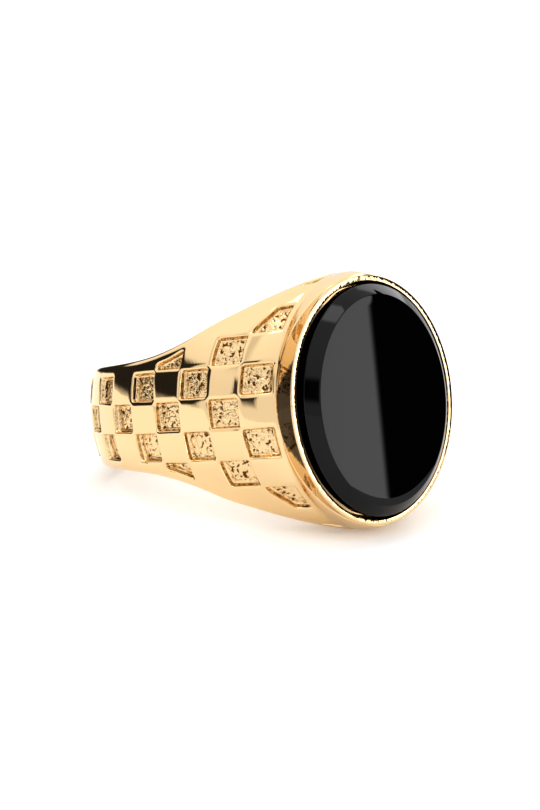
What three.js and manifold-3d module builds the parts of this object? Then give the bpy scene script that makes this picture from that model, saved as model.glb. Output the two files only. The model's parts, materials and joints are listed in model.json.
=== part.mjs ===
// Signet ring: a cast band whose domed shoulders carry sunk checks, rising to a bezel that holds
// a flat-topped oval onyx. Millimetres.
//
// Everything is shaped in the ring's own frame and then laid down the way the ring rests:
//   ring frame  Z is the finger's axis, the stone faces -Y, and both X and Z are mirror directions
//   part frame  +Z up, the ring lies on its side on z = 0, with its stone facing -Y and tipped up
// "along" is the distance round the band from the bezel's foot, measured on the middle line, and
// "arc" is the distance across the band from that middle line, measured on the domed surface.

import * as THREE from 'three';
import { mergeVertices } from 'three/addons/utils/BufferGeometryUtils.js';
import Module from 'manifold-3d';

// ---- Finger hole and band ----
const boreDiameter = 19.0;
const bandWall = 1.6;
const bandHalfWidth = 3.3;
const boreFacets = 96;

// ---- Head and shoulders ----
const headThickness = 4.1; // from the finger hole to the bezel's rim
const headHalfWidth = 7.58; // along the finger, at the bezel's foot
const shoulderJoinAngle = 71; // degrees from the stone to where the shoulders meet the round band
const shoulderFlare = 63; // degrees between the shoulders and the stone's axis, at the bezel's foot
const taperReach = 5.41; // how far round the band the head's width lasts
const taperPower = 1.86;

// ---- Doming across the band: each section is a share of half an oval ----
const headCrownShare = 0.998;
const bandCrownDepth = 1.8;
const bandCrownShare = 0.723;
const crownReach = 5.24;
const crownPower = 2.46;

// ---- Bezel: a thin oval wall that leans out a little from its foot to its rim ----
const bezelHalfLength = 7.17; // along the finger
const bezelHalfBreadth = 5.73; // round the band
const bezelHeight = 2.0; // at the middle of each side
const bezelLean = 0.3;
const bezelWall = 0.35;
const domeClearance = 0.15; // how far the metal under the bezel's ends stays below the rim
const bezelFacets = 72;

// ---- Stone ----
const stoneSideGap = 0.3; // clearance between the stone and the bezel, at the middle of each side
const stoneEndGap = 0.2; // and at the ends
const stoneUnderGap = 0.08;
const stoneSeatDepth = 1.3; // how deep the stone sits below the rim
const girdleHeight = 0.3; // straight edge standing above the rim
const bevelWidth = 0.66;
const bevelHeight = 0.6;

// ---- Sunk checks ----
const checksRound = 31; // columns from one side of the bezel round the band to the other
const checkHeight = 1.83; // across the band
const firstColumn = 0.18; // plain strip at the bezel's foot
const checkDepth = 0.38;
const checkInset = 0.05; // keeps the corners of neighbouring checks apart
const edgeMargin = 0.7; // plain strip along the band's edges
const narrowFromRow = 2.5; // towards the ends of the head the columns close up ...
const narrowShare = 0.4; // ... by this share, one row further out
const leastPart = 0.35; // a check cut short by the edge is left out below this share
const outerRowAtHead = 5; // the column at the bezel runs on to the ends of the head
const outerRowBeyond = 2;
const cutterSteps = 2;
const cutterRise = 0.5;

// ---- Facets of the domed surface ----
const stepsPerColumn = 2;
const stepsAboveFoot = 4;
const stepsAcross = 14;
const arcSteps = 48;

const degrees = Math.PI / 180;
const boreRadius = boreDiameter / 2;
const bandRadius = boreRadius + bandWall;
const rimHeight = boreRadius + headThickness; // heights are measured from the finger's axis
const footHeight = rimHeight - bezelHeight;
const footHalfBreadth = bezelHalfBreadth - bezelLean;
const headEndHalfBreadth = 0.02; // the oval of the head all but closes at its two ends
const headCrownDepth = (footHalfBreadth - headEndHalfBreadth) / (1 - Math.cos(Math.asin(headCrownShare)));

// ---- Middle line: from the bezel's foot along the shoulder, then round the band to the back ----

const joinAngle = shoulderJoinAngle * degrees;
const shoulderCurve = makeShoulderCurve();
const shoulderLength = shoulderCurve.getLength();
const lengthToBack = shoulderLength + bandRadius * (Math.PI - joinAngle);
const lengthToSide = shoulderLength + bandRadius * (Math.PI / 2 - joinAngle);
const columnPitch = (2 * (lengthToBack - firstColumn)) / checksRound;

function makeShoulderCurve() {
  const foot = new THREE.Vector2(footHalfBreadth, footHeight);
  const join = new THREE.Vector2(Math.sin(joinAngle), Math.cos(joinAngle)).multiplyScalar(bandRadius);
  const handle = foot.distanceTo(join) / 3;
  const flare = shoulderFlare * degrees;
  const leave = new THREE.Vector2(Math.sin(flare), -Math.cos(flare)).multiplyScalar(handle);
  const arrive = new THREE.Vector2(Math.cos(joinAngle), -Math.sin(joinAngle)).multiplyScalar(handle);
  return new THREE.CubicBezierCurve(foot, foot.clone().add(leave), join.clone().sub(arrive), join);
}

// x is the distance out from the ring's middle plane, y the height towards the stone.
function middlePoint(along) {
  if (along <= 0) return new THREE.Vector2(footHalfBreadth, footHeight - along);
  if (along < shoulderLength) return shoulderCurve.getPointAt(along / shoulderLength);
  const angle = joinAngle + (along - shoulderLength) / bandRadius;
  return new THREE.Vector2(Math.sin(angle), Math.cos(angle)).multiplyScalar(bandRadius);
}

// ---- Cross-section at a place along the band ----

function section(along) {
  if (along < 0) {
    const above = 1 - (along / bezelHeight) ** 2;
    const halfWidth = bezelHalfLength + (headHalfWidth - bezelHalfLength) * above;
    return { halfWidth, depth: headCrownDepth, share: headCrownShare };
  }
  const taper = Math.exp(-((along / taperReach) ** taperPower));
  const crown = Math.exp(-((along / crownReach) ** crownPower));
  return {
    halfWidth: bandHalfWidth + (headHalfWidth - bandHalfWidth) * taper,
    depth: bandCrownDepth + (headCrownDepth - bandCrownDepth) * crown,
    share: bandCrownShare + (headCrownShare - bandCrownShare) * crown,
  };
}

// turn runs from 0 on the middle line to 1 at the band's edge, by equal angles round the oval.
function crossPoint(along, turn) {
  const { halfWidth, depth, share } = section(along);
  const angle = turn * Math.asin(share);
  return { height: (halfWidth / share) * Math.sin(angle), drop: depth * (1 - Math.cos(angle)) };
}

// A point of the domed surface on the ring's -X side.
function surfaceAtTurn(along, turn) {
  const { height, drop } = crossPoint(along, turn);
  const middle = middlePoint(along);
  if (along <= lengthToSide) return new THREE.Vector3(drop - middle.x, -middle.y, height);
  middle.multiplyScalar((bandRadius - drop) / bandRadius);
  return new THREE.Vector3(-middle.x, -middle.y, height);
}

function halfArc(along) {
  return arcTable(along)[arcSteps];
}

function arcTable(along) {
  const lengths = [0];
  let last = crossPoint(along, 0);
  for (let step = 1; step <= arcSteps; step += 1) {
    const next = crossPoint(along, step / arcSteps);
    lengths.push(lengths[step - 1] + Math.hypot(next.height - last.height, next.drop - last.drop));
    last = next;
  }
  return lengths;
}

function surfaceAtArc(along, arc) {
  const lengths = arcTable(along);
  const wanted = Math.min(Math.abs(arc), lengths[arcSteps]);
  const step = Math.max(1, lengths.findIndex((length) => length >= wanted));
  const within = (wanted - lengths[step - 1]) / (lengths[step] - lengths[step - 1]);
  return surfaceAtTurn(along, (Math.sign(arc) * (step - 1 + within)) / arcSteps);
}

function surfaceNormal(along, arc) {
  const reach = 0.05;
  const ahead = surfaceAtArc(along + reach, arc).sub(surfaceAtArc(along - reach, arc));
  const across = surfaceAtArc(along, arc + reach).sub(surfaceAtArc(along, arc - reach));
  return across.cross(ahead).normalize();
}

// ---- Meshes and solids ----

const wasm = await Module();
wasm.setup();

function geometryFrom(points, faces) {
  const geometry = new THREE.BufferGeometry();
  geometry.setAttribute('position', new THREE.Float32BufferAttribute(points.flatMap((p) => [p.x, p.y, p.z]), 3));
  geometry.setIndex(faces.flat());
  return geometry;
}

function solidFrom(geometry) {
  const bare = geometry.clone();
  bare.deleteAttribute('normal');
  bare.deleteAttribute('uv');
  const merged = mergeVertices(bare, 1e-5);
  const mesh = new wasm.Mesh({
    numProp: 3,
    vertProperties: new Float32Array(merged.attributes.position.array),
    triVerts: new Uint32Array(merged.index.array),
  });
  return new wasm.Manifold(mesh);
}

function geometryOf(solid) {
  const mesh = solid.getMesh();
  const geometry = new THREE.BufferGeometry();
  geometry.setAttribute('position', new THREE.Float32BufferAttribute(mesh.vertProperties, 3));
  geometry.setIndex(Array.from(mesh.triVerts));
  const faceted = geometry.toNonIndexed();
  faceted.computeVertexNormals();
  return faceted;
}

// A closed solid through rings of equal point counts, with a flat cap at each end. Seen from the
// last ring's side, each ring runs anticlockwise.
function loft(rings) {
  const count = rings[0].length;
  const points = rings.flat();
  const faces = [];
  for (let ring = 0; ring + 1 < rings.length; ring += 1) {
    for (let step = 0; step < count; step += 1) {
      const near = ring * count;
      const next = (step + 1) % count;
      faces.push([near + step, near + next, near + count + next]);
      faces.push([near + step, near + count + next, near + count + step]);
    }
  }
  const top = (rings.length - 1) * count;
  for (let step = 1; step + 1 < count; step += 1) {
    faces.push([0, step + 1, step]);
    faces.push([top, top + step, top + step + 1]);
  }
  return geometryFrom(points, faces);
}

// An oval ring of points square to the stone's axis.
function ovalRing(halfBreadth, halfLength, height) {
  const ring = [];
  for (let step = 0; step < bezelFacets; step += 1) {
    const angle = (2 * Math.PI * step) / bezelFacets;
    ring.push(new THREE.Vector3(halfBreadth * Math.cos(angle), -height, halfLength * Math.sin(angle)));
  }
  return ring;
}

// ---- Ring blank: head, shoulders and band as one domed solid, still without its finger hole ----

function stations() {
  const places = [];
  const top = bezelHeight - domeClearance;
  for (let step = stepsAboveFoot; step > 0; step -= 1) places.push((-top * step) / stepsAboveFoot);
  const spacing = columnPitch / stepsPerColumn;
  const toSide = Math.ceil(lengthToSide / spacing);
  const toBack = Math.ceil((lengthToBack - lengthToSide) / spacing);
  for (let step = 0; step < toSide; step += 1) places.push((lengthToSide * step) / toSide);
  for (let step = 0; step <= toBack; step += 1) {
    places.push(lengthToSide + ((lengthToBack - lengthToSide) * step) / toBack);
  }
  return { places, side: stepsAboveFoot + toSide };
}

function makeBlank() {
  const { places, side } = stations();
  const points = [];
  const faces = [];
  const left = [];
  const right = [];
  const middle = [];
  const quad = (a, b, c, d) => faces.push([a, b, c], [a, c, d]);
  places.forEach((along, place) => {
    left.push([]);
    right.push([]);
    for (let step = 0; step <= stepsAcross; step += 1) {
      const point = surfaceAtTurn(along, 1 - (2 * step) / stepsAcross);
      if (place === places.length - 1) point.x = 0;
      left[place].push(points.push(point) - 1);
      if (place === places.length - 1) right[place].push(points.length - 1);
      else right[place].push(points.push(new THREE.Vector3(-point.x, point.y, point.z)) - 1);
    }
    if (place <= side) {
      const edge = points[left[place][0]];
      const up = points.push(new THREE.Vector3(0, edge.y, edge.z)) - 1;
      const down = points.push(new THREE.Vector3(0, edge.y, -edge.z)) - 1;
      middle.push([up, down]);
    } else {
      middle.push(middle[side]);
    }
  });
  const last = stepsAcross;
  for (let step = 0; step < last; step += 1) {
    quad(left[0][step], left[0][step + 1], right[0][step + 1], right[0][step]);
  }
  faces.push([left[0][0], right[0][0], middle[0][0]], [left[0][last], middle[0][1], right[0][last]]);
  for (let place = 0; place + 1 < places.length; place += 1) {
    for (let step = 0; step < last; step += 1) {
      quad(left[place][step], left[place + 1][step], left[place + 1][step + 1], left[place][step + 1]);
      quad(right[place][step], right[place][step + 1], right[place + 1][step + 1], right[place + 1][step]);
    }
    const [up, down] = middle[place];
    const [nextUp, nextDown] = middle[place + 1];
    faces.push([left[place][0], up, left[place + 1][0]], [right[place][0], right[place + 1][0], up]);
    faces.push([left[place][last], left[place + 1][last], down]);
    faces.push([right[place][last], down, right[place + 1][last]]);
    if (nextUp !== up) {
      faces.push([left[place + 1][0], up, nextUp], [right[place + 1][0], nextUp, up]);
      faces.push([left[place + 1][last], nextDown, down], [right[place + 1][last], down, nextDown]);
    }
  }
  return geometryFrom(points, faces);
}

// The space above the head's top, which is arched from side to side between the bezel's feet.
function makeDomeCutter() {
  const rise = bezelHeight - domeClearance;
  const beyond = 2 * footHalfBreadth;
  const outline = new THREE.Shape();
  const slope = (2 * rise) / footHalfBreadth;
  outline.moveTo(-beyond, footHeight);
  outline.lineTo(-footHalfBreadth, footHeight);
  outline.quadraticCurveTo(0, footHeight + slope * footHalfBreadth, footHalfBreadth, footHeight);
  outline.lineTo(beyond, footHeight);
  outline.lineTo(beyond, rimHeight + rise);
  outline.lineTo(-beyond, rimHeight + rise);
  outline.closePath();
  const length = 4 * headHalfWidth;
  const cutter = new THREE.ExtrudeGeometry(outline, { depth: length, bevelEnabled: false, curveSegments: 24 });
  cutter.translate(0, 0, -length / 2);
  return cutter.rotateZ(Math.PI);
}

// ---- Checks ----

function columnAlong(column, arc) {
  const rows = Math.abs(arc) / checkHeight - narrowFromRow;
  const share = THREE.MathUtils.smoothstep(rows, 0, 1);
  return firstColumn + column * columnPitch * (1 - narrowShare * share);
}

// The place of a point inside a check: across runs 0 to 1 round the band, out runs 0 to 1 from the
// row's inner side towards the band's edge, which may cut the check short.
function checkPlace(column, row, across, out) {
  const inner = (row - 0.5) * checkHeight + checkInset;
  const outer = (row + 0.5) * checkHeight - checkInset;
  const alongAt = (arc) => {
    const start = columnAlong(column, arc) + checkInset;
    const end = columnAlong(column + 1, arc) - checkInset;
    return start + (end - start) * across;
  };
  let limit = outer;
  for (let pass = 0; pass < 4; pass += 1) {
    limit = Math.min(outer, halfArc(alongAt(limit)) - edgeMargin);
  }
  const arc = inner + (limit - inner) * out;
  return { along: alongAt(arc), arc, part: (limit - inner) / (outer - inner) };
}

function isSunk(column, row) {
  return (column + row) % 2 !== 0;
}

// Where a check runs out against the band's edge, it stops this far across its column.
function checkReach(column, row) {
  const least = 0.2;
  let reach = 1;
  while (reach > 0 && checkPlace(column, row, reach, 1).part < least) reach -= 0.05;
  let area = 0;
  for (let step = 0; step < cutterSteps; step += 1) {
    area += checkPlace(column, row, (reach * (step + 0.5)) / cutterSteps, 1).part / cutterSteps;
  }
  return area * reach < leastPart ? 0 : reach;
}

function makeCheckCutter(column, row, side, reach) {
  const sheet = (rise) => {
    const points = [];
    for (let a = 0; a <= cutterSteps; a += 1) {
      for (let b = 0; b <= cutterSteps; b += 1) {
        const place = checkPlace(column, row, (reach * a) / cutterSteps, b / cutterSteps);
        const arc = place.arc * side;
        const point = surfaceAtArc(place.along, arc);
        points.push(point.addScaledVector(surfaceNormal(place.along, arc), rise));
      }
    }
    return points;
  };
  const points = [...sheet(-checkDepth), ...sheet(cutterRise)];
  const width = cutterSteps + 1;
  const upper = width * width;
  const faces = [];
  const quad = (a, b, c, d) => {
    const turned = side < 0;
    faces.push(turned ? [a, c, b] : [a, b, c], turned ? [a, d, c] : [a, c, d]);
  };
  for (let a = 0; a < cutterSteps; a += 1) {
    for (let b = 0; b < cutterSteps; b += 1) {
      const near = a * width + b;
      quad(near, near + width, near + width + 1, near + 1);
      quad(upper + near, upper + near + 1, upper + near + width + 1, upper + near + width);
    }
    const low = a * width;
    const high = a * width + cutterSteps;
    quad(low, upper + low, upper + low + width, low + width);
    quad(high, high + width, upper + high + width, upper + high);
    const first = a;
    const end = cutterSteps * width + a;
    quad(first, first + 1, upper + first + 1, upper + first);
    quad(end, upper + end, upper + end + 1, end + 1);
  }
  return geometryFrom(points, faces);
}

function makeCheckCutters() {
  const cutters = [];
  const middleColumn = (checksRound - 1) / 2;
  for (let column = 0; column <= middleColumn; column += 1) {
    const outerRow = column === 0 ? outerRowAtHead : outerRowBeyond;
    for (let row = 0; row <= outerRow; row += 1) {
      if (!isSunk(column, row)) continue;
      const reach = row === 0 ? 1 : checkReach(column, row);
      if (reach === 0) continue;
      const sides = row === 0 ? [1] : [1, -1];
      for (const side of sides) {
        const cutter = solidFrom(makeCheckCutter(column, row, side, reach));
        cutters.push(cutter);
        if (column < middleColumn) cutters.push(cutter.mirror([1, 0, 0]));
      }
    }
  }
  return cutters;
}

// ---- Pieces ----

function makeRingBody() {
  const domed = solidFrom(makeBlank()).subtract(solidFrom(makeDomeCutter()));
  const bezel = loft([
    ovalRing(footHalfBreadth - bezelLean, bezelHalfLength - 2 * bezelLean, footHeight - bezelHeight / 2),
    ovalRing(footHalfBreadth, bezelHalfLength - bezelLean / 2, footHeight),
    ovalRing(bezelHalfBreadth, bezelHalfLength, rimHeight),
  ]);
  const seat = loft([
    ovalRing(bezelHalfBreadth - bezelWall, bezelHalfLength - bezelWall, rimHeight - stoneSeatDepth),
    ovalRing(bezelHalfBreadth - bezelWall, bezelHalfLength - bezelWall, rimHeight + bezelWall),
  ]);
  const bore = new THREE.CylinderGeometry(boreRadius, boreRadius, 4 * headHalfWidth, boreFacets);
  bore.rotateX(Math.PI / 2);
  let body = domed.add(solidFrom(bezel)).subtract(solidFrom(seat)).subtract(solidFrom(bore));
  for (const cutter of makeCheckCutters()) body = body.subtract(cutter);
  return geometryOf(body);
}

function makeStone() {
  const halfBreadth = bezelHalfBreadth - bezelWall - stoneSideGap;
  const halfLength = bezelHalfLength - bezelWall - stoneEndGap;
  const girdleTop = rimHeight + girdleHeight;
  return geometryOf(solidFrom(loft([
    ovalRing(halfBreadth, halfLength, rimHeight - stoneSeatDepth + stoneUnderGap),
    ovalRing(halfBreadth, halfLength, girdleTop),
    ovalRing(halfBreadth - bevelWidth, halfLength - bevelWidth, girdleTop + bevelHeight),
  ])));
}

// ---- Assembly ----

function named(name, geometry, look) {
  const mesh = new THREE.Mesh(geometry, new THREE.MeshStandardMaterial(look));
  mesh.name = name;
  return mesh;
}

// The lean at which the head's lower end and the back of the band touch the same level surface.
function restingTilt(pieces) {
  const points = [];
  for (const piece of pieces) {
    const places = piece.geometry.attributes.position;
    for (let index = 0; index < places.count; index += 1) {
      points.push(new THREE.Vector3().fromBufferAttribute(places, index));
    }
  }
  const lowest = (tilt, wanted) => {
    const heights = points.filter(wanted).map((p) => p.z * Math.cos(tilt) - p.y * Math.sin(tilt));
    return heights.reduce((low, height) => Math.min(low, height), Infinity);
  };
  let flat = 0;
  let steep = Math.PI / 4;
  for (let pass = 0; pass < 40; pass += 1) {
    const tilt = (flat + steep) / 2;
    if (lowest(tilt, (p) => p.y < 0) < lowest(tilt, (p) => p.y >= 0)) flat = tilt;
    else steep = tilt;
  }
  return flat;
}

const ring = new THREE.Group();
ring.add(named('ring_body', makeRingBody(), { color: 0xe6bd74, roughness: 0.12, metalness: 1.0 }));
ring.add(named('onyx_stone', makeStone(), { color: 0x060606, roughness: 0.05, metalness: 0.0 }));
ring.rotation.x = -restingTilt(ring.children);

const signetRing = new THREE.Group();
signetRing.add(ring);
signetRing.updateMatrixWorld(true);
const extent = new THREE.Box3().setFromObject(signetRing, true);
ring.position.set(0, -(extent.min.y + extent.max.y) / 2, -extent.min.z);

export default signetRing;
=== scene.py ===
import json
import math

import bmesh
import bpy
import numpy as np
from mathutils import Matrix, Vector, noise


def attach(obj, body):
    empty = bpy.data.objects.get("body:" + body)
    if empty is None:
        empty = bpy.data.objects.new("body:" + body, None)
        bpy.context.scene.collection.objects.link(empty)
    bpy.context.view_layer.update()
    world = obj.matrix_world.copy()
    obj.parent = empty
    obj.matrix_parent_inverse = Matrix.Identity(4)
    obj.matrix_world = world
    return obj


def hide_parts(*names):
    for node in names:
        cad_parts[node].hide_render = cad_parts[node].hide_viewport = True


# Looks of a signet ring: a cast band with sunk checks on its domed shoulders, and a bezel that holds
# a flat-topped oval onyx.
#
# Shapes are worked out in millimetres in the ring's own frame, and lay_down() puts them in the row's:
#   Z is the finger's axis, the stone faces -Y, and both X and Z are mirror directions
# "along" is the distance round the band from the bezel's foot, measured on the middle line, and
# "arc" is the distance across the band from that middle line, measured on the domed surface.

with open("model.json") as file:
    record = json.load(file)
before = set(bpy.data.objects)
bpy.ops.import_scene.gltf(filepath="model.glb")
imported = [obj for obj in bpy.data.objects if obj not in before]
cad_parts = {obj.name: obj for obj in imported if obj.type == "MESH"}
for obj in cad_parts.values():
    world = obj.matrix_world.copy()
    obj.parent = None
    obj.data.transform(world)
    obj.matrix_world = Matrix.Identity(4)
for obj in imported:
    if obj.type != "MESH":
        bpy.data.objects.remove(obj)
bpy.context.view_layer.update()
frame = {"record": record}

MM = 0.001

# ---- Finger hole and band ----
BORE_RADIUS = 9.5
BAND_RADIUS = 11.1
BAND_HALF_WIDTH = 3.3

# ---- Head and shoulders ----
RIM_HEIGHT = 13.6
HEAD_HALF_WIDTH = 7.58
JOIN_ANGLE = math.radians(71)
SHOULDER_FLARE = math.radians(63)
TAPER_REACH, TAPER_POWER = 5.41, 1.86

# ---- Doming across the band ----
HEAD_CROWN_SHARE = 0.998
HEAD_END_HALF_BREADTH = 0.02
BAND_CROWN_DEPTH = 1.8
BAND_CROWN_SHARE = 0.723
CROWN_REACH, CROWN_POWER = 5.24, 2.46

# ---- Bezel and stone ----
BEZEL_HALF_LENGTH = 7.17
BEZEL_HALF_BREADTH = 5.73
BEZEL_HEIGHT = 2.0
BEZEL_LEAN = 0.3
BEZEL_WALL = 0.35
DOME_CLEARANCE = 0.15
STONE_SIDE_GAP = 0.3
STONE_END_GAP = 0.2
STONE_UNDER_GAP = 0.08
STONE_SEAT_DEPTH = 1.3
GIRDLE_HEIGHT = 0.3
BEVEL_WIDTH = 0.66
BEVEL_HEIGHT = 0.6

# ---- Sunk checks ----
CHECKS_ROUND = 31
CHECK_HEIGHT = 1.83
FIRST_COLUMN = 0.18
CHECK_DEPTH = 0.38
CHECK_INSET = 0.05
EDGE_MARGIN = 0.7
NARROW_FROM_ROW = 2.5
NARROW_SHARE = 0.4
LEAST_PART = 0.35
OUTER_ROW_AT_HEAD = 5
OUTER_ROW_BEYOND = 2

FOOT_HEIGHT = RIM_HEIGHT - BEZEL_HEIGHT
FOOT_HALF_BREADTH = BEZEL_HALF_BREADTH - BEZEL_LEAN
HEAD_CROWN_DEPTH = (FOOT_HALF_BREADTH - HEAD_END_HALF_BREADTH) / (1 - math.cos(math.asin(HEAD_CROWN_SHARE)))
TABLE_HEIGHT = RIM_HEIGHT + GIRDLE_HEIGHT + BEVEL_HEIGHT


# ---- Middle line of the band ----

def shoulder_curve(t):
    """The shoulder's middle line, from the bezel's foot (t = 0) to the round band (t = 1)."""
    foot = np.array([FOOT_HALF_BREADTH, FOOT_HEIGHT])
    join = BAND_RADIUS * np.array([math.sin(JOIN_ANGLE), math.cos(JOIN_ANGLE)])
    handle = np.hypot(*(join - foot)) / 3
    leave = foot + handle * np.array([math.sin(SHOULDER_FLARE), -math.cos(SHOULDER_FLARE)])
    arrive = join - handle * np.array([math.cos(JOIN_ANGLE), -math.sin(JOIN_ANGLE)])
    t = np.asarray(t)[..., None]
    return (1 - t) ** 3 * foot + 3 * t * (1 - t) ** 2 * leave + 3 * t * t * (1 - t) * arrive + t ** 3 * join


SHOULDER_PLACES = np.linspace(0, 1, 2001)
SHOULDER_STEPS = np.diff(shoulder_curve(SHOULDER_PLACES), axis=0)
SHOULDER_LENGTHS = np.concatenate([[0], np.cumsum(np.hypot(SHOULDER_STEPS[:, 0], SHOULDER_STEPS[:, 1]))])
SHOULDER_LENGTH = SHOULDER_LENGTHS[-1]
LENGTH_TO_BACK = SHOULDER_LENGTH + BAND_RADIUS * (math.pi - JOIN_ANGLE)
LENGTH_TO_SIDE = SHOULDER_LENGTH + BAND_RADIUS * (math.pi / 2 - JOIN_ANGLE)
COLUMN_PITCH = 2 * (LENGTH_TO_BACK - FIRST_COLUMN) / CHECKS_ROUND


def middle_point(along):
    """Distance out from the ring's middle plane, and height towards the stone."""
    on_shoulder = shoulder_curve(np.interp(along, SHOULDER_LENGTHS, SHOULDER_PLACES))
    angle = JOIN_ANGLE + (along - SHOULDER_LENGTH) / BAND_RADIUS
    out = np.where(along < SHOULDER_LENGTH, on_shoulder[..., 0], BAND_RADIUS * np.sin(angle))
    up = np.where(along < SHOULDER_LENGTH, on_shoulder[..., 1], BAND_RADIUS * np.cos(angle))
    return np.where(along < 0, FOOT_HALF_BREADTH, out), np.where(along < 0, FOOT_HEIGHT - along, up)


# ---- Cross-section of the band ----

def section(along):
    """Half width, doming depth, and the share of half an oval that the section takes."""
    below = np.maximum(along, 0)
    taper = np.exp(-((below / TAPER_REACH) ** TAPER_POWER))
    crown = np.exp(-((below / CROWN_REACH) ** CROWN_POWER))
    above = 1 - (np.minimum(along, 0) / BEZEL_HEIGHT) ** 2
    half_width = BAND_HALF_WIDTH + (HEAD_HALF_WIDTH - BAND_HALF_WIDTH) * taper
    collar = BEZEL_HALF_LENGTH + (HEAD_HALF_WIDTH - BEZEL_HALF_LENGTH) * above
    depth = BAND_CROWN_DEPTH + (HEAD_CROWN_DEPTH - BAND_CROWN_DEPTH) * crown
    share = BAND_CROWN_SHARE + (HEAD_CROWN_SHARE - BAND_CROWN_SHARE) * crown
    return np.where(along < 0, collar, half_width), depth, share


ARC_STEPS = 48


def arc_lengths(along):
    """Lengths on the domed surface at even turns from the middle line to the band's edge."""
    half_width, depth, share = section(along)
    angle = np.arcsin(share)[..., None] * np.linspace(0, 1, ARC_STEPS + 1)
    height = (half_width / share)[..., None] * np.sin(angle)
    drop = depth[..., None] * (1 - np.cos(angle))
    lengths = np.cumsum(np.hypot(np.diff(height), np.diff(drop)), axis=-1)
    return np.concatenate([np.zeros(along.shape + (1,)), lengths], axis=-1)


def half_arc(along):
    return arc_lengths(np.asarray(along, float))[..., -1]


def turn_at(along, arc):
    """How far round the section an arc reaches: 0 on the middle line, 1 at the band's edge."""
    lengths = arc_lengths(along)
    wanted = np.minimum(np.abs(arc), lengths[..., -1])
    step = np.clip((lengths < wanted[..., None]).sum(axis=-1), 1, ARC_STEPS)
    low = np.take_along_axis(lengths, step[..., None] - 1, -1)[..., 0]
    high = np.take_along_axis(lengths, step[..., None], -1)[..., 0]
    return np.sign(arc) * (step - 1 + (wanted - low) / (high - low)) / ARC_STEPS


def surface(along, arc):
    """Points of the domed surface on the ring's -X side."""
    half_width, depth, share = section(along)
    angle = turn_at(along, arc) * np.arcsin(share)
    height = half_width / share * np.sin(angle)
    drop = depth * (1 - np.cos(angle))
    out, up = middle_point(along)
    shrink = (BAND_RADIUS - drop) / BAND_RADIUS
    front = along <= LENGTH_TO_SIDE
    x = np.where(front, drop - out, -out * shrink)
    y = np.where(front, -up, -up * shrink)
    return np.stack([x, y, height], axis=-1)


def surface_normal(along, arc):
    reach = 0.03
    ahead = surface(along + reach, arc) - surface(along - reach, arc)
    across = surface(along, arc + reach) - surface(along, arc - reach)
    normal = np.cross(ahead, across)
    normal /= np.maximum(np.linalg.norm(normal, axis=-1, keepdims=True), 1e-12)
    outwards = np.sign((normal * surface(along, arc)).sum(axis=-1, keepdims=True))
    return normal * outwards


# ---- Where the columns of checks run ----

def smooth(share):
    share = np.clip(share, 0, 1)
    return share * share * (3 - 2 * share)


def column_squeeze(column, arc):
    """The first column closes up towards the ends of the head, and the ones beyond it less and less."""
    fade = 1 - smooth((column - 1) / 3)
    return 1 - NARROW_SHARE * fade * smooth(np.abs(arc) / CHECK_HEIGHT - NARROW_FROM_ROW)


def crest_along(arc):
    """Where the head's side meets its arched top, above the bezel's foot."""
    turn = np.linspace(0, 1, 101)
    breadth = FOOT_HALF_BREADTH - HEAD_CROWN_DEPTH * (1 - np.cos(turn * math.asin(HEAD_CROWN_SHARE)))
    rise = (BEZEL_HEIGHT - DOME_CLEARANCE) * (1 - (breadth / FOOT_HALF_BREADTH) ** 2)
    lengths = arc_lengths(-rise)
    steps = np.arange(ARC_STEPS + 1)
    reached = [np.interp(share * ARC_STEPS, steps, row) for share, row in zip(turn, lengths)]
    return -np.interp(np.abs(arc), reached, rise)


def along_at(column, arc):
    """Distance round the band for a place counted in columns. Column -1 is the crest."""
    beyond = FIRST_COLUMN + column * COLUMN_PITCH * column_squeeze(column, arc)
    above = FIRST_COLUMN - column * (crest_along(arc) - FIRST_COLUMN)
    return np.where(column < 0, above, beyond)


# ---- Which checks are sunk ----

def check_parts(column, row, places):
    """How much of a check's height the band's edge leaves, at places across it."""
    inner = (row - 0.5) * CHECK_HEIGHT + CHECK_INSET
    outer = (row + 0.5) * CHECK_HEIGHT - CHECK_INSET
    start = along_at(np.full(places.shape, float(column)), np.full(places.shape, outer)) + CHECK_INSET
    end = along_at(np.full(places.shape, column + 1.0), np.full(places.shape, outer)) - CHECK_INSET
    limit = np.minimum(outer, half_arc(start + (end - start) * places) - EDGE_MARGIN)
    return (limit - inner) / (outer - inner)


def list_sunk_checks():
    middle_column = (CHECKS_ROUND - 1) // 2
    sunk = set()
    for column in range(middle_column + 1):
        for row in range((OUTER_ROW_BEYOND if column else OUTER_ROW_AT_HEAD) + 1):
            whole = row == 0 or check_parts(column, row, np.array([0.25, 0.75])).mean() > LEAST_PART
            if (column + row) % 2 and whole:
                sunk.update([(column, row), (column, -row)])
    return sunk


SUNK_CHECKS = list_sunk_checks()

# ---- How the recesses and the metal beside them were worked, and the shade painted in the recesses' walls ----
CORNER_ROUND = 0.17
WALL_SPREAD = 0.13  # how far in the recess's wall reaches its floor
EDGE_SOFTENING = 0.26  # how far out from a recess the polishing wheel rounded the metal over
SOFTENED_BY = 0.04
STRUCK_BY = 0.05  # how much deeper the floors are once struck
WALL_SHADE = 0.45  # how much painted shade darkens the recesses' walls
# how far in from a recess's outline the painted shade is full, how far in it starts to fade, and the fade
WALL_SHADE_FULL, WALL_SHADE_TO, WALL_SHADE_FADE = 0.05, 0.1, 0.08
FLOOR_FROM, FLOOR_FADE = 0.06, 0.1  # the same for the struck floor's grain: where it starts, and its fade
WANDER = (0.02, 0.7, 3)  # how far the recesses' outlines stray, the size of the waves and the noise's seed
DENTS = ((0.035, 0.32, 1), (0.03, 0.15, 2))  # the struck floors' relief, from the same kinds of numbers


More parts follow.
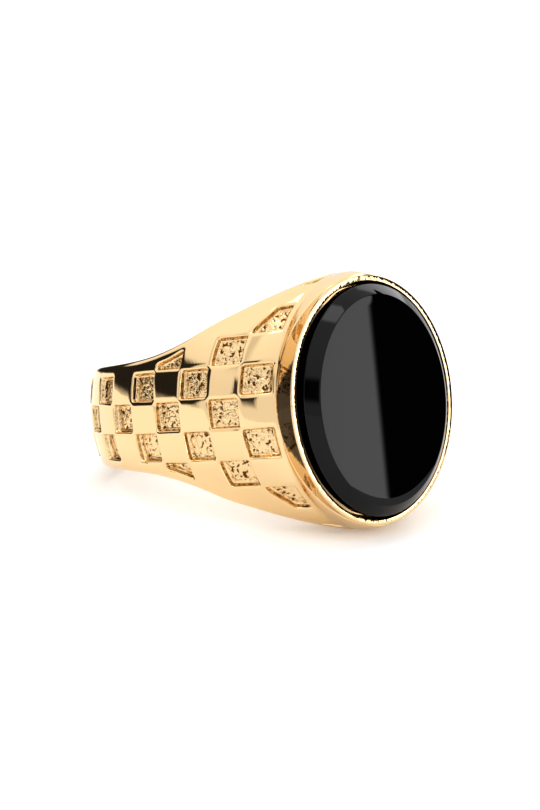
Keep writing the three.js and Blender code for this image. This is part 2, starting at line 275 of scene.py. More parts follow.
def outline_distance(column, arc, edge):
    """Distance from each place to the nearest recess's outline, negative inside the recess."""
    far_away = 9.0
    nearest = np.full(column.shape, far_away)
    pitch = COLUMN_PITCH * column_squeeze(column, arc)
    here, row_here = np.floor(column).astype(int), np.rint(arc / CHECK_HEIGHT).astype(int)
    middle_row = OUTER_ROW_AT_HEAD + 2
    sunk = np.zeros((CHECKS_ROUND, 2 * middle_row + 1), bool)
    for check, row in SUNK_CHECKS:
        sunk[check, row + middle_row] = True
    for step in (-1, 0, 1):
        for climb in (-1, 0, 1):
            check, row = here + step, row_here + climb
            inside = (check >= 0) & (check < CHECKS_ROUND) & (np.abs(row) <= OUTER_ROW_AT_HEAD + 1)
            there = np.zeros(column.shape, bool)
            there[inside] = sunk[check[inside], row[inside] + middle_row]
            side = np.abs(column - check - 0.5) * pitch - (pitch / 2 - CHECK_INSET)
            height = np.abs(arc - row * CHECK_HEIGHT) - (CHECK_HEIGHT / 2 - CHECK_INSET)
            height = np.maximum(height, np.abs(arc) - (edge - EDGE_MARGIN))
            over_side, over_height = side + CORNER_ROUND, height + CORNER_ROUND
            corner = np.hypot(np.maximum(over_side, 0), np.maximum(over_height, 0))
            away = corner + np.minimum(np.maximum(over_side, over_height), 0) - CORNER_ROUND
            nearest = np.where(there, np.minimum(nearest, away), nearest)
    return nearest


def waves(points, height, size, seed):
    """Smooth noise up to a given height, with lumps of a given size, both in millimetres."""
    shift = Vector((seed, 2.7 * seed, 1.3 * seed))
    flat = [noise.noise(Vector(p) / size + shift) for p in points.reshape(-1, 3)]
    return height * np.array(flat).reshape(points.shape[:-1])


# ---- Ring body ----

CELL_LINES = (0, 0.035, 0.06, 0.09, 0.13, 0.2, 0.3)  # mesh lines beside each check's border
LINES_INSIDE = 6
ROWS_OUT = 5.6  # how many rows of checks out from the middle line get mesh lines
# mesh lines in from the band's edge, close together at EDGE_MARGIN, where the recesses are cut short
EDGE_LINES = np.array([0.84, 0.78, 0.74, 0.7, 0.66, 0.62, 0.5, 0.38, 0.28, 0.2, 0.13, 0.07, 0.03, 0])
EDGE_ROUND = 0.4
EDGE_ROUND_SHARE = 0.45  # the most that the round takes of a narrow side face
BORE_LINES = np.array([0.4, 0.26, 0.16, 0.09, 0.04, 0])  # out from the finger hole, and down into it
BORE_ROUND = 0.3
BORE_STEPS = 7
HOLE_TOP_TURNS = np.radians(np.arange(0, 40, 3.5))  # turns from the finger hole's top to its mesh lines
HEAD_LINES = 6  # mesh lines from the crest down to the first column of checks
CLEAR_OF_TOP = 0.02  # columns on either side of the finger hole's top that get no other mesh line
LEAST_APART = 0.008  # a mesh line closer than this to the one before it, in columns, is left out
NARROW_SIDE = 1.04  # a side face narrower than this has its mesh lines closer together


def cell_lines(cells, size):
    """Mesh lines counted in cells, close together beside each cell's borders."""
    near = np.array(CELL_LINES)
    inside = np.linspace(near[-1], size - near[-1], LINES_INSIDE + 2)[1:-1]
    one = np.concatenate([near, inside, size - near[:0:-1]]) / size
    return np.concatenate([cell + one for cell in cells])


def edge_of(column):
    """Arc and along of the band's edge on the mesh line of each column place."""
    step = 0.02
    arcs = np.arange(0, 12, step)
    columns, across = np.meshgrid(column, arcs, indexing="ij")
    room = half_arc(along_at(columns, across)) - across
    first = np.argmax(room <= 0, axis=1)
    line = np.arange(len(column))
    before, after = room[line, first - 1], room[line, first]
    arc = arcs[first - 1] + step * before / (before - after)
    return arc, along_at(column, arc)


def column_lines():
    """Mesh lines from the crest to the back of the band, with some added over the finger hole's top."""
    middle_column = (CHECKS_ROUND - 1) // 2
    lines = cell_lines(range(middle_column + 1), COLUMN_PITCH)
    lines = lines[lines <= CHECKS_ROUND / 2 - 0.01]
    table = np.linspace(0, 5, 400)
    arc, along = edge_of(table)
    height = middle_point(along)[1]
    wanted = BORE_RADIUS * np.cos(HOLE_TOP_TURNS)
    over_hole = np.interp(-wanted, -height, table)
    top = over_hole[0]
    keep = np.abs(lines - top) > CLEAR_OF_TOP
    on_head = np.linspace(-1, 0, HEAD_LINES + 1)[:-1]
    both = np.sort(np.concatenate([on_head, lines[keep], over_hole, [CHECKS_ROUND / 2]]))
    spaced = [both[0]]
    for line in both[1:]:
        if line - spaced[-1] > LEAST_APART or line == top:
            spaced.append(line)
    spaced = np.array(spaced)
    return spaced, int(np.argmin(np.abs(spaced - top)))


def rounded(points, own, other, distance, radius):
    """Points within radius of a square corner moved onto a round one. own and other are the
    directions from the corner along the points' own face and along the face that it meets."""
    turn = math.pi / 4 * (1 - np.clip(distance / radius, 0, 1))
    slide = np.where(distance < radius, radius * (1 - np.sin(turn)) - distance, 0)
    lift = np.where(distance < radius, radius * (1 - np.cos(turn)), 0)
    return points + own * slide[..., None] + other * lift[..., None]


def unit(vectors):
    return vectors / np.maximum(np.linalg.norm(vectors, axis=-1, keepdims=True), 1e-12)


def domed_grid(column, arc_edge):
    """The outer surface with its recesses: its points, the points it would have without them, and its
    finish, which is 0 where polished, up to 1 where struck rough and below 0 where painted shade darkens the
    recesses' walls."""
    rows = cell_lines(range(-6, 6), CHECK_HEIGHT) * CHECK_HEIGHT - CHECK_HEIGHT / 2
    rows = rows[np.abs(rows) <= ROWS_OUT * CHECK_HEIGHT]
    limit = (arc_edge - EDGE_LINES[0])[:, None]
    inner = np.clip(rows[None, :], -limit, limit)
    outer = arc_edge[:, None] - EDGE_LINES[None, :]
    arc = np.concatenate([-outer[:, ::-1], inner, outer], axis=1)
    columns = np.broadcast_to(column[:, None], arc.shape)
    along = along_at(columns, arc)
    points = surface(along, arc)
    normal = surface_normal(along, arc)
    distance = outline_distance(columns, arc, half_arc(along))
    distance += waves(points, *WANDER)
    wall = np.clip(-distance / WALL_SPREAD, 0, 1)
    softening = SOFTENED_BY * (1 - np.clip(distance / EDGE_SOFTENING, 0, 1)) ** 2
    floor = smooth((-distance - FLOOR_FROM) / FLOOR_FADE)
    relief = sum(waves(points, *dents) for dents in DENTS)
    depth = softening + (CHECK_DEPTH + STRUCK_BY - SOFTENED_BY) * wall + floor * relief
    # painted shade: the recesses' walls are darkened in colour, fading out before their floors
    faded = smooth((-distance - WALL_SHADE_TO) / WALL_SHADE_FADE)
    recess_wall_shade = WALL_SHADE * smooth(-distance / WALL_SHADE_FULL) * (1 - faded)
    depth[0] = 0
    sunk = points - normal * depth[..., None]
    return sunk, surface(along, arc), floor - recess_wall_shade


def side_lines(edge, end, radial):
    """Points of one side face of the band, from its edge in to the finger hole or the middle plane.
    Returns the points and their distances from the edge."""
    length = np.linalg.norm(end - edge, axis=-1)
    squeeze = np.minimum(1, length / NARROW_SIDE)[:, None]
    near = EDGE_LINES[EDGE_LINES <= 0.5][-2::-1] * squeeze
    away = np.linalg.norm(edge[:, None, :2], axis=-1) - BORE_RADIUS - BORE_LINES[None, :] * squeeze
    height = np.maximum((BORE_RADIUS + BORE_LINES) ** 2 - edge[:, 1:2] ** 2, 0)
    flat = np.abs(edge[:, 0:1]) - np.sqrt(height)
    to_hole = np.where(radial[:, None], away, flat)
    last = near[:, -1:]
    to_hole = np.clip(to_hole, last, length[:, None])
    to_hole[:, -1] = length
    gap = to_hole[:, :1] - last
    between = last + gap * np.array([0.33, 0.67])
    distance = np.concatenate([near, between, to_hole], axis=1)
    direction = unit(end - edge)
    return edge[:, None, :] + direction[:, None, :] * distance[..., None], distance, direction


def half_ring():
    """Grids of points that close the ring's -X half when merged."""
    column, top = column_lines()
    arc_edge, along_edge = edge_of(column)
    # floor holds the finish: above 0 on the struck floors, below 0 where painted shade darkens the recesses'
    # walls
    domed, bare, floor = domed_grid(column, arc_edge)
    domed[-1, :, 0] = 0
    edge = bare[:, -1].copy()
    radial = along_edge > LENGTH_TO_SIDE
    hole = np.arange(len(column)) >= top
    end = edge.copy()
    end[:, 0] = -np.sqrt(np.maximum(BORE_RADIUS ** 2 - edge[:, 1] ** 2, 0))
    end[:top + 1, 0] = 0
    end[radial, :2] = BORE_RADIUS * unit(edge[radial, :2])
    end[-1, 0] = 0
    side, distance, inwards = side_lines(edge, end, radial)

    # the band's edge, rounded over between its domed face and its side
    width = np.linalg.norm(end - edge, axis=-1)
    radius = np.maximum(np.minimum(EDGE_ROUND, EDGE_ROUND_SHARE * width), 1e-6)[:, None]
    down = unit(bare[:, -3] - edge)
    count = len(EDGE_LINES)
    face = rounded(domed[:, -count:], down[:, None], inwards[:, None], EDGE_LINES[None, :], radius)
    side = rounded(side, inwards[:, None], down[:, None], distance, radius)
    mirrored = face[:, ::-1] * np.array([1, 1, -1])
    domed = np.concatenate([mirrored, domed[:, count:-count], face], axis=1)

    # the finger hole's edge
    axis = np.array([0, 0, -1.0])
    reach = np.linalg.norm(side[..., :2], axis=-1) - BORE_RADIUS
    outwards = side.copy()
    outwards[..., 2] = 0
    reach[:, -1] = np.where(hole, 0, reach[:, -1])
    side = rounded(side, unit(outwards), axis, np.maximum(reach, 0), BORE_ROUND)
    wall_top = end[hole]
    down_hole = BORE_LINES[::-1]
    half = wall_top[:, 2:3] - down_hole[-1]
    between = down_hole[-1] + 2 * half * np.linspace(0, 1, BORE_STEPS + 2)[None, 1:-1]
    deep = np.concatenate([np.broadcast_to(down_hole, (len(half), len(down_hole))), between], axis=1)
    upper = deep[:, :len(down_hole)]
    spread = wall_top[:, None, :] + axis * deep[..., None]
    radial_out = wall_top * np.array([1, 1, 0])
    upper_points = rounded(spread[:, :len(down_hole)], axis, unit(radial_out)[:, None], upper, BORE_ROUND)
    lower_points = upper_points[:, ::-1] * np.array([1, 1, -1])
    bore = np.concatenate([upper_points, spread[:, len(down_hole):], lower_points], axis=1)

    around = np.concatenate([side[:, ::-1] * np.array([1, 1, -1]), domed, side], axis=1)
    pad = np.zeros((len(column), side.shape[1]))
    finish_and_shade = np.concatenate([pad, floor, pad], axis=1)
    return around, finish_and_shade, bore


# Painted dark reflection on the bezel's side: it covers the whole wall near the middle set below, along the
# finger, and keeps to the top of the wall further away.
DARK_REFLECTION_MIDDLE = -0.35
DARK_REFLECTION_HALF_LENGTH = 2.9
DARK_REFLECTION_LIFT, DARK_REFLECTION_DROP, DARK_REFLECTION_BLEND = 0.6, 1.3, 0.65
FILED_RIM = 0.12  # how rough the rim is, and how much painted shade its pits get, as shares of the recesses' floors
RIM_ROUND_OUT, RIM_ROUND_IN = 0.09, 0.05
RIM_RAGGED = (0.012, 0.3, 5)  # how uneven the rim's inner edge is
SEAT_SHARE = 0.97  # a mesh line this far out on the seat's floor keeps its corner sharp
# mesh lines: shares of the arched top's and the wall's height, and degrees round the rim's two corners
ARCH_LINES, WALL_LINES = (0.3, 0.7, 1), (0.04, 0.12, 0.3, 0.5, 0.7, 0.85, 1)
RIM_LINES_OUT, RIM_LINES_IN = (22, 45, 68, 90), (90, 60, 30, 0)


def bezel_rows(crest):
    """From the crest over the arched top, up the bezel's wall, over its rim and down to the seat.
    Returns the points and their finish, which is below 0 where the wall gets a painted dark reflection."""
    breadth, length = np.abs(crest[:, 0]), crest[:, 2]
    turn = np.arctan2(length / BEZEL_HALF_LENGTH, breadth / BEZEL_HALF_BREADTH)
    cos, sin = np.cos(turn), np.sin(turn)

    def ring(half_breadth, half_length, height):
        height = np.broadcast_to(height, cos.shape)
        return np.stack([-half_breadth * cos, -height, half_length * sin], axis=-1)

    def wall(height):
        climbed = (height - FOOT_HEIGHT) / BEZEL_HEIGHT
        half_breadth = FOOT_HALF_BREADTH + BEZEL_LEAN * climbed
        return ring(half_breadth, BEZEL_HALF_LENGTH - BEZEL_LEAN / 2 * (1 - climbed), height)

    foot = np.full(cos.shape, FOOT_HEIGHT)
    # the wall leans out, so the height at which it leaves the arched top settles in a few rounds
    for _ in range(6):
        out = np.abs(wall(foot)[:, 0])
        arch = np.maximum(1 - (out / FOOT_HALF_BREADTH) ** 2, 0)
        foot = FOOT_HEIGHT + (BEZEL_HEIGHT - DOME_CLEARANCE) * arch
    base = wall(foot)
    rows = [crest + (base - crest) * share for share in ARCH_LINES]
    shoulder = RIM_HEIGHT - RIM_ROUND_OUT
    polished, filed = np.zeros(cos.shape), np.full(cos.shape, FILED_RIM)
    finish_and_shade = [polished] * len(rows)
    off_middle = (length - DARK_REFLECTION_MIDDLE) / DARK_REFLECTION_HALF_LENGTH
    for share in WALL_LINES:
        rows.append(wall(foot + (shoulder - foot) * share))
        # painted dark reflection on the wall, kept in the finish as values below 0
        finish_and_shade.append(-smooth((share + DARK_REFLECTION_LIFT - DARK_REFLECTION_DROP * off_middle ** 2) / DARK_REFLECTION_BLEND))
    for angle in np.radians(RIM_LINES_OUT):
        inset = RIM_ROUND_OUT * (1 - math.cos(angle))
        height = shoulder + RIM_ROUND_OUT * math.sin(angle)
        rows.append(ring(BEZEL_HALF_BREADTH - inset, BEZEL_HALF_LENGTH - inset, height))
        finish_and_shade.append(filed)
    inner_breadth, inner_length = BEZEL_HALF_BREADTH - BEZEL_WALL, BEZEL_HALF_LENGTH - BEZEL_WALL
    ragged = waves(ring(inner_breadth, inner_length, RIM_HEIGHT), *RIM_RAGGED)
    for angle in np.radians(RIM_LINES_IN):
        inset = RIM_ROUND_IN * (1 - math.cos(angle)) + ragged
        height = RIM_HEIGHT - RIM_ROUND_IN * (1 - math.sin(angle))
        rows.append(ring(inner_breadth + inset, inner_length + inset, height))
        finish_and_shade.append(filed)
    seat = RIM_HEIGHT - STONE_SEAT_DEPTH
    rows.append(ring(inner_breadth, inner_length, seat))
    rows.append(ring(inner_breadth * SEAT_SHARE, inner_length * SEAT_SHARE, seat))
    rows.append(ring(0, inner_length * SEAT_SHARE, seat))
    finish_and_shade += [polished] * (len(rows) - len(finish_and_shade))
    return np.stack(rows[::-1]), np.stack(finish_and_shade[::-1])


def grid_faces(rows, columns, start):
    index = start + np.arange(rows * columns).reshape(rows, columns)
    corners = [index[:-1, :-1], index[1:, :-1], index[1:, 1:], index[:-1, 1:]]
    return np.stack(corners, axis=-1).reshape(-1, 4)


MERGE_DISTANCE = 0.0015


def lay_down(mesh):
    """From millimetres in the ring's own frame to the row frame, given by the stone's flat top."""
    mount = next(m for m in frame["record"]["mounts"] if m["name"] == "stone_table")
    facing, table = Vector(mount["axis"]), Vector(mount["pos_m"])
    middle = table - facing * TABLE_HEIGHT * MM
    across = Vector((1, 0, 0))
    axes = Matrix((across, -facing, across.cross(-facing))).transposed().to_4x4()
    mesh.transform(Matrix.Translation(middle) @ axes @ Matrix.Scale(MM, 4))


def piece_from(name, grids, attribute=None):
    """One closed mesh from grids of points, mirrored across the middle plane."""
    points, faces, values, start = [], [], [], 0
    for grid, value in grids:
        rows, columns = grid.shape[:2]
        faces.append(grid_faces(rows, columns, start))
        points.append(grid.reshape(-1, 3))
        values.append(np.zeros(rows * columns) if value is None else value.reshape(-1))
        start += rows * columns
    points, faces, values = np.concatenate(points), np.concatenate(faces), np.concatenate(values)
    points = np.concatenate([points, points * np.array([-1, 1, 1])])
    faces = np.concatenate([faces, faces[:, ::-1] + start])
    values = np.concatenate([values, values])
    mesh = bpy.data.meshes.new(name)
    mesh.from_pydata(points.tolist(), [], faces.tolist())
    if attribute:
        mesh.attributes.new(attribute, "FLOAT", "POINT").data.foreach_set("value", values)
    made = bmesh.new()
    made.from_mesh(mesh)
    bmesh.ops.remove_doubles(made, verts=made.verts, dist=MERGE_DISTANCE)
    bmesh.ops.dissolve_degenerate(made, dist=1e-5, edges=made.edges)
    bmesh.ops.recalc_face_normals(made, faces=made.faces)
    for face in made.faces:
        face.smooth = True
    made.to_mesh(mesh)
    made.free()
    lay_down(mesh)
    piece = bpy.data.objects.new(name, mesh)
    bpy.context.scene.collection.objects.link(piece)
    return piece


def make_ring_body():
    around, finish_and_shade, bore = half_ring()
    bezel, bezel_finish_and_shade = bezel_rows(around[0])
    upper = np.concatenate([bezel, around])
    upper_finish_and_shade = np.concatenate([bezel_finish_and_shade, finish_and_shade])
    # the finish attribute is struck roughness above 0 and painted shade below 0
    return piece_from("ring_body_fine", [(upper, upper_finish_and_shade), (bore, None)], "finish_and_shade")


# ---- Onyx ----

STONE_SEGMENTS = 288
STONE_EDGE_ROUND = 0.05
STONE_FOOT_CUT = 0.04  # the small bevel round its underside
STONE_INNER_SHARE = 0.9  # how far in the last mesh line on its top and its underside is
STONE_TABLE_LINE = 1.2  # how far in from the girdle a mesh line keeps the flat top's border crisp


def make_onyx():
    half_breadth = BEZEL_HALF_BREADTH - BEZEL_WALL - STONE_SIDE_GAP
    half_length = BEZEL_HALF_LENGTH - BEZEL_WALL - STONE_END_GAP
    girdle_top = RIM_HEIGHT + GIRDLE_HEIGHT
    seat = RIM_HEIGHT - STONE_SEAT_DEPTH + STONE_UNDER_GAP
    slope = math.atan2(BEVEL_HEIGHT, BEVEL_WIDTH)
    along_bevel = np.array([math.cos(slope), math.sin(slope)])
    inner = half_breadth * STONE_INNER_SHARE
    profile = [(inner, seat), (STONE_FOOT_CUT, seat), (0, seat + STONE_FOOT_CUT)]
    profile.append((0, girdle_top - STONE_EDGE_ROUND))

    def rounded_corner(corner, before, after):
        """Points of a small round between two straight stretches of the profile."""
        start = corner + np.array(before) * STONE_EDGE_ROUND
        end = corner + np.array(after) * STONE_EDGE_ROUND
        return [(1 - t) ** 2 * start + 2 * t * (1 - t) * corner + t * t * end for t in np.linspace(0, 1, 6)]

    girdle_corner = np.array([0, girdle_top])
    table_corner = np.array([BEVEL_WIDTH, girdle_top + BEVEL_HEIGHT])
    profile += rounded_corner(girdle_corner, (0, -1), along_bevel)
    profile += rounded_corner(table_corner, -along_bevel, (1, 0))
    profile += [(STONE_TABLE_LINE, TABLE_HEIGHT), (inner, TABLE_HEIGHT)]
    angle = np.linspace(0, 2 * math.pi, STONE_SEGMENTS + 1)
    rings = []
    for inset, height in profile:
        breadth, length = half_breadth - inset, half_length - inset
        level = np.full(angle.shape, -float(height))
        rings.append(np.stack([breadth * np.cos(angle), level, length * np.sin(angle)], axis=-1))
    # a ring small enough to merge into one point closes the underside, and another one the top
    for end in (0, -1):
        flat = rings[end].copy()
        flat[:, (0, 2)] *= 1e-4
        rings.insert(0 if end == 0 else len(rings), flat)
    return rings


def onyx_piece():
    grid = np.stack(make_onyx())
    half = grid.shape[1] // 2
    quarter = STONE_SEGMENTS // 4
    left = grid[:, quarter:quarter + half + 1].copy()
    left[:, 0, 0] = left[:, -1, 0] = 0
    return piece_from("onyx_stone_fine", [(left, None)])


# ---- Finishes ----

def linear(colour):
    """sRGB hex to the linear values that the shaders take."""
    parts = [int(colour[place:place + 2], 16) / 255 for place in (1, 3, 5)]
    return [p / 12.92 if p <= 0.04045 else ((p + 0.055) / 1.055) ** 2.4 for p in parts] + [1]


def add_node(tree, kind, settings=None, links=None):
    """Adds a node. settings are its properties or its inputs' values, links its inputs' sources."""
    node = tree.nodes.new(kind)
    for name, value in (settings or {}).items():
        if isinstance(name, str) and hasattr(node, name):
            setattr(node, name, value)
        else:
            node.inputs[name].default_value = value
    for name, source in (links or {}).items():
        tree.links.new(source, node.inputs[name])
    return node


def new_material(name):
    material = bpy.data.materials.new(name)
    material.use_nodes = True
    material.node_tree.nodes.clear()
    return material, material.node_tree


def plated_gold():
    """Yellow gold plate over cast silver, polished on a wheel. Lightly wavy, so reflections wander a
    little. The recesses' floors were struck with a blunt point, which the wheel never reached: their
    metal is grainy, with small pits that scatter the light. Painted shade darkens the pits and the recesses'
    walls, and a painted dark reflection darkens the bezel's sides."""
    material, tree = new_material("plated_gold")
    place = add_node(tree, "ShaderNodeTexCoord").outputs["Object"]
    finish_and_shade = add_node(tree, "ShaderNodeAttribute", {"attribute_name": "finish_and_shade"}).outputs["Fac"]
    struck = add_node(tree, "ShaderNodeMapRange", links={"Value": finish_and_shade}).outputs["Result"]
    # the painted shade's share, taken from the finish below 0
    painted_shade = add_node(tree, "ShaderNodeMapRange", {"From Max": -1.0}, {"Value": finish_and_shade}).outputs["Result"]

    # polishing leaves swells a millimetre or so across
    swell = add_node(tree, "ShaderNodeTexNoise", {"Scale": 1 / (1.3 * MM), "Detail": 1.0}, {"Vector": place})
    wavy = add_node(tree, "ShaderNodeBump", {"Strength": 1.0, "Distance": 0.008 * MM},
                    {"Height": swell.outputs["Fac"]})
    # and faint strokes slanting across the band, 0.07 mm apart and a millimetre long
    slant = add_node(tree, "ShaderNodeMapping", {"Rotation": (0, math.radians(40), 0),
                                                 "Scale": (1 / 0.07, 1 / 0.3, 1.0)}, {"Vector": place})
    stroke = add_node(tree, "ShaderNodeTexNoise", {"Scale": 1 / MM, "Detail": 1.0},
                      {"Vector": slant.outputs["Vector"]})
    brushed = add_node(tree, "ShaderNodeBump", {"Strength": 1.0, "Distance": 0.0012 * MM},
                       {"Height": stroke.outputs["Fac"], "Normal": wavy.outputs["Normal"]})

    # dents about 0.25 mm apart, each a soft pit with a raised lip
    wander = add_node(tree, "ShaderNodeTexNoise", {"Scale": 1 / (0.5 * MM), "Detail": 1.0}, {"Vector": place})
    pushed = add_node(tree, "ShaderNodeVectorMath", {"operation": "MULTIPLY_ADD", 1: [0.3 * MM] * 3},
                      {0: wander.outputs["Color"], 2: place})
    dents = add_node(tree, "ShaderNodeTexNoise", {"Scale": 1 / (0.24 * MM), "Detail": 2.0, "Roughness": 0.45},
                     {"Vector": pushed.outputs["Vector"]})
    depth = add_node(tree, "ShaderNodeMath", {"operation": "MULTIPLY"},
                     {0: dents.outputs["Fac"], 1: struck})
    stipple = add_node(tree, "ShaderNodeBump", {"Strength": 1.0, "Distance": 0.09 * MM},
                       {"Height": depth.outputs["Value"], "Normal": brushed.outputs["Normal"]})
    # painted shade in the struck floors' pits: their colour goes to dark amber
    pit = add_node(tree, "ShaderNodeMapRange", {"interpolation_type": "SMOOTHSTEP",
                                                "From Min": 0.44, "From Max": 0.36},
                   {"Value": dents.outputs["Fac"]})
    pit_shade = add_node(tree, "ShaderNodeMath", {"operation": "MULTIPLY"},
                    {0: pit.outputs["Result"], 1: struck})
    metal_colour = add_node(tree, "ShaderNodeMix",
                            {"data_type": "RGBA", 6: linear("#E9CA9B"), 7: linear("#5E3C12")},
                            {0: pit_shade.outputs["Value"]})
    # painted shade in the recesses' walls and a painted dark reflection on the bezel's sides, broken into
    # flecks 0.12 mm across
    shade_flecks = add_node(tree, "ShaderNodeTexNoise", {"Scale": 1 / (0.12 * MM), "Detail": 1.0},
                      {"Vector": place})
    shade_cover = add_node(tree, "ShaderNodeMath", {"operation": "MULTIPLY_ADD", 1: 1.0},
                     {0: painted_shade, 2: shade_flecks.outputs["Fac"]})
    painted_dark = add_node(tree, "ShaderNodeMapRange", {"interpolation_type": "SMOOTHSTEP",
                                                   "From Min": 0.7, "From Max": 1.3},
                      {"Value": shade_cover.outputs["Value"]})
    # the dark colour of the painted shade and of the painted dark reflection
    colour = add_node(tree, "ShaderNodeMix", {"data_type": "RGBA", 7: linear("#1C1007")},
                      {0: painted_dark.outputs["Result"], 6: metal_colour.outputs[2]})
    roughness = add_node(tree, "ShaderNodeMapRange", {"To Min": 0.06, "To Max": 0.2}, {"Value": struck})
    metal = add_node(tree, "ShaderNodeBsdfPrincipled", {"Metallic": 1.0},
                     {"Base Color": colour.outputs[2], "Roughness": roughness.outputs["Result"],
                      "Normal": stipple.outputs["Normal"]})
    add_node(tree, "ShaderNodeOutputMaterial", links={"Surface": metal.outputs["BSDF"]})
    return material


def polished_onyx():
    """Black onyx, cut flat and polished to a wet gloss, with nothing to see inside it."""
    material, tree = new_material("polished_onyx")
    stone = add_node(tree, "ShaderNodeBsdfPrincipled", {
        "Base Color": linear("#020202"), "Roughness": 0.015, "IOR": 1.54, "Specular IOR Level": 0.24})
    add_node(tree, "ShaderNodeOutputMaterial", links={"Surface": stone.outputs["BSDF"]})
    return material


# ---- Studio ----

CAMERA_TURN = math.radians(31.14)
CAMERA_RISE = math.radians(11.633)
CAMERA_DISTANCE = 71.535 * MM
CAMERA_ROLL = math.radians(0.717)
CAMERA_LENS = 46.63  # millimetres, on a sensor 36 mm wide
CAMERA_SHIFT = (0.0189, -0.0029)  # shares of the sensor's width


def make_camera():
    mount = next(m for m in frame["record"]["mounts"] if m["name"] == "stone_table")
    middle = Vector(mount["pos_m"]) - Vector(mount["axis"]) * TABLE_HEIGHT * MM
    back = Vector((-math.sin(CAMERA_TURN) * math.cos(CAMERA_RISE),
                   -math.cos(CAMERA_TURN) * math.cos(CAMERA_RISE), math.sin(CAMERA_RISE)))
    data = bpy.data.cameras.new("camera")
    data.sensor_width = 36
    data.lens = CAMERA_LENS
    data.shift_x, data.shift_y = CAMERA_SHIFT
    data.clip_start, data.clip_end = 0.005, 10
    camera = bpy.data.objects.new("camera", data)
    camera.rotation_mode = "QUATERNION"
    camera.location = middle + back * CAMERA_DISTANCE
    turn = (-back).to_track_quat("-Z", "Y").to_matrix() @ Matrix.Rotation(CAMERA_ROLL, 3, "Z")
    camera.rotation_quaternion = turn.to_quaternion()
    bpy.context.scene.collection.objects.link(camera)
    bpy.context.scene.camera = camera


FLOOR_HALF_SIDE = 3.0  # metres


def make_floor():
    """A sheet of white acrylic with a little light coming up through it."""
    mesh = bpy.data.meshes.new("floor")
    corners = [(FLOOR_HALF_SIDE * x, FLOOR_HALF_SIDE * y, 0) for x, y in ((-1, -1), (1, -1), (1, 1), (-1, 1))]
    mesh.from_pydata(corners, [], [(0, 1, 2, 3)])
    floor = bpy.data.objects.new("floor", mesh)
    material, tree = new_material("lit_white_acrylic")
    sheet = add_node(tree, "ShaderNodeBsdfDiffuse", {"Color": linear("#F4F4F4")})
    glow = add_node(tree, "ShaderNodeEmission", {"Color": linear("#FFFFFF"), "Strength": 0.15})
    both = add_node(tree, "ShaderNodeAddShader",
                    links={0: sheet.outputs["BSDF"], 1: glow.outputs["Emission"]})
    add_node(tree, "ShaderNodeOutputMaterial", links={"Surface": both.outputs["Shader"]})
    mesh.materials.append(material)
    bpy.context.scene.collection.objects.link(floor)


# How bright the tent's cloth is low down and high up, and between which elevations it changes
CLOTH_LOW, CLOTH_HIGH = 0.92, 1.15
CLOTH_DIM_BELOW, CLOTH_FULL_ABOVE = 10, 50
# Openings and cards in the light tent: the middles of their azimuth and elevation, half their spans and
# the softness of their borders, all in degrees, and how bright they are beside the tent's cloth.
# Azimuth runs from behind the ring towards +X, and a part leans by its last number, degrees of azimuth
# for each degree of elevation.
TENT_PARTS = (
    ("unlit_room_behind", -34, 12, 49, 11, 2.5, 0.03, 0),
    ("camera_and_stand", -121, 14, 12, 6.5, 2.5, 0.05, 0),
    ("shade_beside_camera", -108, 38, 8, 12, 5, 0.7, 0),
    ("black_card", 113, 20, 30.2, 32, 0.2, 0.01, 0.1),
    ("lamp_panel", 151.2, 12, 8, 20, 0.2, 3.6, 0.1),
    ("lamp_over_camera", -137, 69, 24, 8, 2, 3.0, 0),
    ("lamp_at_the_side", 70, 44, 14, 24, 3, 2.6, 0),
)


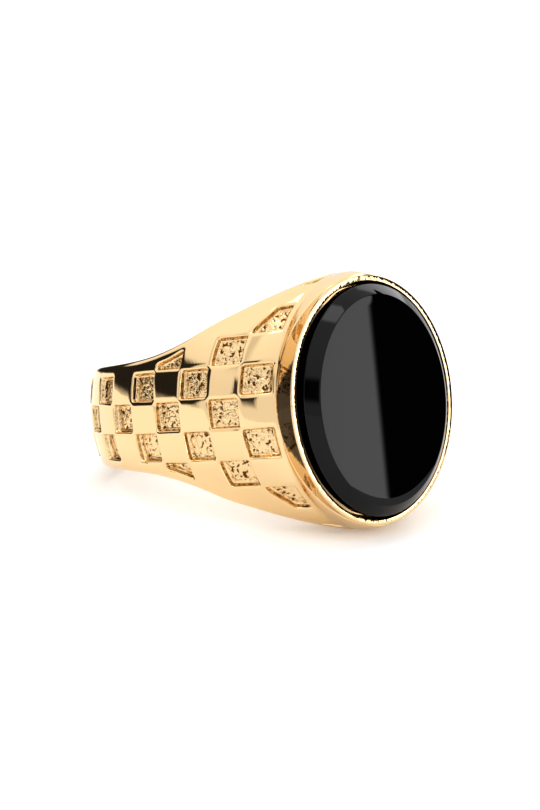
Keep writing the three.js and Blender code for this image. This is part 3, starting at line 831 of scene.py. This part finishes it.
def make_surroundings():
    """A tent of white cloth lit from above, plain white where the camera looks past the ring."""
    world = bpy.data.worlds.new("light_tent")
    bpy.context.scene.world = world
    world.use_nodes = True
    tree = world.node_tree
    tree.nodes.clear()

    # the direction looked in, as azimuth and elevation in degrees
    direction = add_node(tree, "ShaderNodeTexCoord").outputs["Generated"]
    axes = add_node(tree, "ShaderNodeSeparateXYZ", links={"Vector": direction}).outputs
    turned = add_node(tree, "ShaderNodeMath", {"operation": "ARCTAN2"}, {0: axes["X"], 1: axes["Y"]})
    risen = add_node(tree, "ShaderNodeMath", {"operation": "ARCSINE"}, {0: axes["Z"]})
    radians = add_node(tree, "ShaderNodeCombineXYZ", links={"X": turned.outputs[0], "Y": risen.outputs[0]})
    aim = add_node(tree, "ShaderNodeVectorMath", {"operation": "SCALE", "Scale": math.degrees(1)},
                   {0: radians.outputs[0]}).outputs[0]
    elevation = add_node(tree, "ShaderNodeSeparateXYZ", links={"Vector": aim}).outputs["Y"]

    cloth = add_node(tree, "ShaderNodeMapRange",
                     {"interpolation_type": "SMOOTHSTEP", "From Min": CLOTH_DIM_BELOW,
                      "From Max": CLOTH_FULL_ABOVE, "To Min": CLOTH_LOW, "To Max": CLOTH_HIGH},
                     {"Value": elevation})
    light = cloth.outputs["Result"]
    for name, turn, rise, half_turn, half_rise, soft, share, lean in TENT_PARTS:
        leaning = add_node(tree, "ShaderNodeVectorMath", {"operation": "DOT_PRODUCT", 1: (1, lean, 0)},
                           {0: aim})
        place = add_node(tree, "ShaderNodeCombineXYZ", links={"X": leaning.outputs["Value"], "Y": elevation})
        away = add_node(tree, "ShaderNodeVectorMath", {"operation": "SUBTRACT", 1: (turn, rise, 0)},
                        {0: place.outputs[0]})
        apart = add_node(tree, "ShaderNodeVectorMath", {"operation": "ABSOLUTE"}, {0: away.outputs[0]})
        past = add_node(tree, "ShaderNodeVectorMath", {"operation": "SUBTRACT", 1: (half_turn, half_rise, 0)},
                        {0: apart.outputs[0]})
        sides = add_node(tree, "ShaderNodeSeparateXYZ", links={"Vector": past.outputs[0]}).outputs
        outside = add_node(tree, "ShaderNodeMath", {"operation": "MAXIMUM"}, {0: sides["X"], 1: sides["Y"]})
        dimmed = add_node(tree, "ShaderNodeMapRange",
                          {"interpolation_type": "SMOOTHSTEP", "name": name, "From Min": -soft,
                           "From Max": soft, "To Min": share, "To Max": 1.0},
                          {"Value": outside.outputs["Value"]})
        product = add_node(tree, "ShaderNodeMath", {"operation": "MULTIPLY"},
                           {0: light, 1: dimmed.outputs["Result"]})
        light = product.outputs["Value"]
    seen = add_node(tree, "ShaderNodeLightPath").outputs["Is Camera Ray"]
    strength = add_node(tree, "ShaderNodeMix", {"data_type": "FLOAT", 3: 1.0}, {0: seen, 2: light})
    cloth_light = add_node(tree, "ShaderNodeBackground", {"Color": linear("#FFFFFF")},
                           {"Strength": strength.outputs[0]})
    add_node(tree, "ShaderNodeOutputWorld", links={"Surface": cloth_light.outputs["Background"]})
    bpy.context.scene.view_settings.view_transform = "Standard"
    bpy.context.scene.view_settings.look = "Medium High Contrast"


ring_body = make_ring_body()
ring_body.data.materials.append(plated_gold())
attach(ring_body, "root")
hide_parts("ring_body")

onyx_stone = onyx_piece()
onyx_stone.data.materials.append(polished_onyx())
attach(onyx_stone, "root")
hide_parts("onyx_stone")

make_camera()
make_floor()
make_surroundings()
